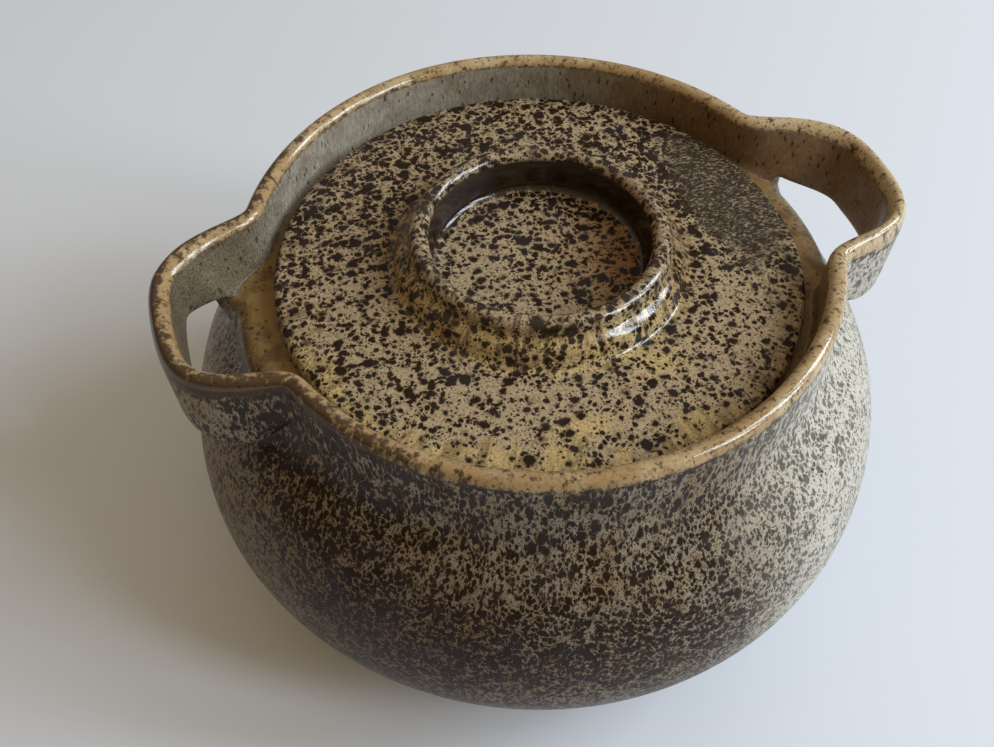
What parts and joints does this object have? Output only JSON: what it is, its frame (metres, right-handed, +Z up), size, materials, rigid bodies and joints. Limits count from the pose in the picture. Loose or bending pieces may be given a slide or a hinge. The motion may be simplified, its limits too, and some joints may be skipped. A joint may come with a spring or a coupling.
{
  "type": "soup tureen",
  "caption": "Round-bellied stoneware tureen with a raised collar drawn out into loop handles, and a loose disc lid with a hollow ring knob.",
  "frame": {"origin": "centre of the foot ring's underside", "axes": "+X through the middle of the right handle, +Y to the rear, +Z up along the pot's turning axis"},
  "size_m": [0.2434, 0.2394, 0.1417],
  "materials": {
    "pot_glaze": "dark speckled satin glaze over buff stoneware, honey brown where it thins on the rim and gallery",
    "handle_glaze": "glossy honey-brown crest over grey-green speckled glaze",
    "lid_glaze": "buff satin glaze with dark brown blotches",
    "knob_glaze": "glossy speckled glaze, dark brown inside the ring"
  },
  "bodies": {
    "pot": {"pot_body": "pot_glaze", "handle_right": "handle_glaze", "handle_left": "handle_glaze"},
    "lid": {"lid_plate": "lid_glaze", "lid_ring_knob": "knob_glaze"}
  },
  "joints": [
    {"name": "lid_lift", "type": "slide", "parent": "pot", "child": "lid", "axis": [0, 0, 1], "range_m": [0, 0.12]}
  ]
}
